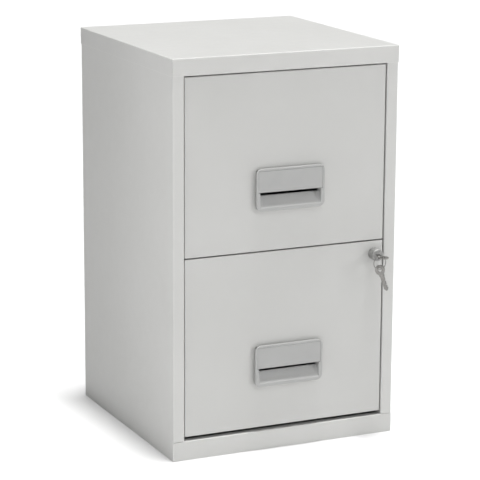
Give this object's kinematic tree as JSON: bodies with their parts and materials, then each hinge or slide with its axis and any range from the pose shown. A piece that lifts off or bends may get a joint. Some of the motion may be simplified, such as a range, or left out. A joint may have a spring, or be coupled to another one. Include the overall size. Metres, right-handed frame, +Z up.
{
  "type": "filing cabinet",
  "caption": "Metal filing cabinet with stacked drawers for hanging files on roller runners, recessed hooded handles and a corner key lock with a lifting bar.",
  "frame": {"origin": "centre of the footprint, on the floor, in the underside of the base panel", "axes": "+Z up; the drawers face -Y and open along it; +X is to the right of someone facing them"},
  "size_m": [0.4, 0.4447, 0.655],
  "materials": {
    "powder_coat": "satin light grey powder coat with a fine orange peel",
    "zinc_steel": "bright zinc plate",
    "handle_plastic": "fine-grained grey moulded plastic",
    "nylon": "natural nylon",
    "lock_metal": "satin nickel plate, turned",
    "key_steel": "nickel plated steel"
  },
  "bodies": {
    "cabinet": {"side_panel_left": "powder_coat", "side_panel_right": "powder_coat", "back_panel": "powder_coat", "top_lid": "powder_coat", "header_rail": "powder_coat", "base_panel": "powder_coat", "plinth_rail": "powder_coat", "runner_lower_left": "zinc_steel", "runner_lower_right": "zinc_steel", "runner_upper_left": "zinc_steel", "runner_upper_right": "zinc_steel", "lock_bar_guide_lower": "zinc_steel", "lock_bar_guide_upper": "zinc_steel"},
    "upper_drawer": {"upper_front": "powder_coat", "upper_floor": "powder_coat", "upper_back": "powder_coat", "upper_lock_catch": "zinc_steel", "upper_handle_housing": "handle_plastic", "upper_handle_hood": "handle_plastic", "upper_wall_left": "powder_coat", "upper_wall_right": "powder_coat", "upper_rail_left": "zinc_steel", "upper_rail_right": "zinc_steel"},
    "lower_drawer": {"lower_front": "powder_coat", "lower_floor": "powder_coat", "lower_back": "powder_coat", "lower_lock_catch": "zinc_steel", "lower_handle_housing": "handle_plastic", "lower_handle_hood": "handle_plastic", "lower_wall_left": "powder_coat", "lower_wall_right": "powder_coat", "lower_rail_left": "zinc_steel", "lower_rail_right": "zinc_steel", "lock_barrel": "lock_metal", "lock_nut": "lock_metal"},
    "lock_core": {"lock_plug": "lock_metal", "lock_cam": "zinc_steel", "cam_screw": "zinc_steel", "key": "key_steel"},
    "lock_bar": {"lock_bar": "zinc_steel"},
    "ring": {"key_ring": "key_steel"},
    "spare_key": {"spare_key": "key_steel"},
    "runner_roller_upper_left": {"runner_roller_upper_left": "nylon"},
    "upper_drawer_roller_left": {"upper_drawer_roller_left": "nylon"},
    "runner_roller_upper_right": {"runner_roller_upper_right": "nylon"},
    "upper_drawer_roller_right": {"upper_drawer_roller_right": "nylon"},
    "runner_roller_lower_left": {"runner_roller_lower_left": "nylon"},
    "lower_drawer_roller_left": {"lower_drawer_roller_left": "nylon"},
    "runner_roller_lower_right": {"runner_roller_lower_right": "nylon"},
    "lower_drawer_roller_right": {"lower_drawer_roller_right": "nylon"}
  },
  "joints": [
    {"name": "upper_drawer_slide", "type": "slide", "parent": "cabinet", "child": "upper_drawer", "axis": [0, -1, 0], "range_m": [0, 0.287]},
    {"name": "lower_drawer_slide", "type": "slide", "parent": "cabinet", "child": "lower_drawer", "axis": [0, -1, 0], "range_m": [0, 0.287]},
    {"name": "lock_turn", "type": "hinge", "parent": "lower_drawer", "child": "lock_core", "pos_m": [0.161, -0.2129, 0.311], "axis": [0, -1, 0], "range_deg": [0, 90]},
    {"name": "lock_bar_lift", "type": "slide", "parent": "cabinet", "child": "lock_bar", "axis": [0, 0, 1], "range_m": [0, 0.0227]},
    {"name": "ring_swing", "type": "hinge", "parent": "lock_core", "child": "ring", "pos_m": [0.15575, -0.2319, 0.31065], "axis": [0, -1, 0], "range_deg": [-90, 0]},
    {"name": "spare_key_swing", "type": "hinge", "parent": "ring", "child": "spare_key", "pos_m": [0.15425, -0.2319, 0.29225], "axis": [-0.766, -0.6428, 0], "range_deg": [-75, 30]},
    {"name": "runner_roller_upper_left_spin", "type": "hinge", "parent": "cabinet", "child": "runner_roller_upper_left", "pos_m": [-0.1732, -0.16, 0.3562], "axis": [1, 0, 0], "range_deg": [0, 1500]},
    {"name": "upper_drawer_roller_left_spin", "type": "hinge", "parent": "upper_drawer", "child": "upper_drawer_roller_left", "pos_m": [-0.1717, 0.152, 0.3561], "axis": [1, 0, 0], "range_deg": [0, 1500]},
    {"name": "runner_roller_upper_right_spin", "type": "hinge", "parent": "cabinet", "child": "runner_roller_upper_right", "pos_m": [0.1732, -0.16, 0.3562], "axis": [1, 0, 0], "range_deg": [0, 1500]},
    {"name": "upper_drawer_roller_right_spin", "type": "hinge", "parent": "upper_drawer", "child": "upper_drawer_roller_right", "pos_m": [0.1717, 0.152, 0.3561], "axis": [1, 0, 0], "range_deg": [0, 1500]},
    {"name": "runner_roller_lower_left_spin", "type": "hinge", "parent": "cabinet", "child": "runner_roller_lower_left", "pos_m": [-0.1732, -0.16, 0.0602], "axis": [1, 0, 0], "range_deg": [0, 1500]},
    {"name": "lower_drawer_roller_left_spin", "type": "hinge", "parent": "lower_drawer", "child": "lower_drawer_roller_left", "pos_m": [-0.1717, 0.152, 0.0601], "axis": [1, 0, 0], "range_deg": [0, 1500]},
    {"name": "runner_roller_lower_right_spin", "type": "hinge", "parent": "cabinet", "child": "runner_roller_lower_right", "pos_m": [0.1732, -0.16, 0.0602], "axis": [1, 0, 0], "range_deg": [0, 1500]},
    {"name": "lower_drawer_roller_right_spin", "type": "hinge", "parent": "lower_drawer", "child": "lower_drawer_roller_right", "pos_m": [0.1717, 0.152, 0.0601], "axis": [1, 0, 0], "range_deg": [0, 1500]}
  ],
  "couplings": [
    {"joint": "lock_bar_lift", "follows": "lock_turn", "m_per_rad": 0.0144},
    {"joint": "ring_swing", "follows": "lock_turn", "ratio": -1},
    {"joint": "runner_roller_upper_left_spin", "follows": "upper_drawer_slide", "rad_per_m": 90.909},
    {"joint": "upper_drawer_roller_left_spin", "follows": "upper_drawer_slide", "rad_per_m": 90.909},
    {"joint": "runner_roller_upper_right_spin", "follows": "upper_drawer_slide", "rad_per_m": 90.909},
    {"joint": "upper_drawer_roller_right_spin", "follows": "upper_drawer_slide", "rad_per_m": 90.909},
    {"joint": "runner_roller_lower_left_spin", "follows": "lower_drawer_slide", "rad_per_m": 90.909},
    {"joint": "lower_drawer_roller_left_spin", "follows": "lower_drawer_slide", "rad_per_m": 90.909},
    {"joint": "runner_roller_lower_right_spin", "follows": "lower_drawer_slide", "rad_per_m": 90.909},
    {"joint": "lower_drawer_roller_right_spin", "follows": "lower_drawer_slide", "rad_per_m": 90.909}
  ]
}
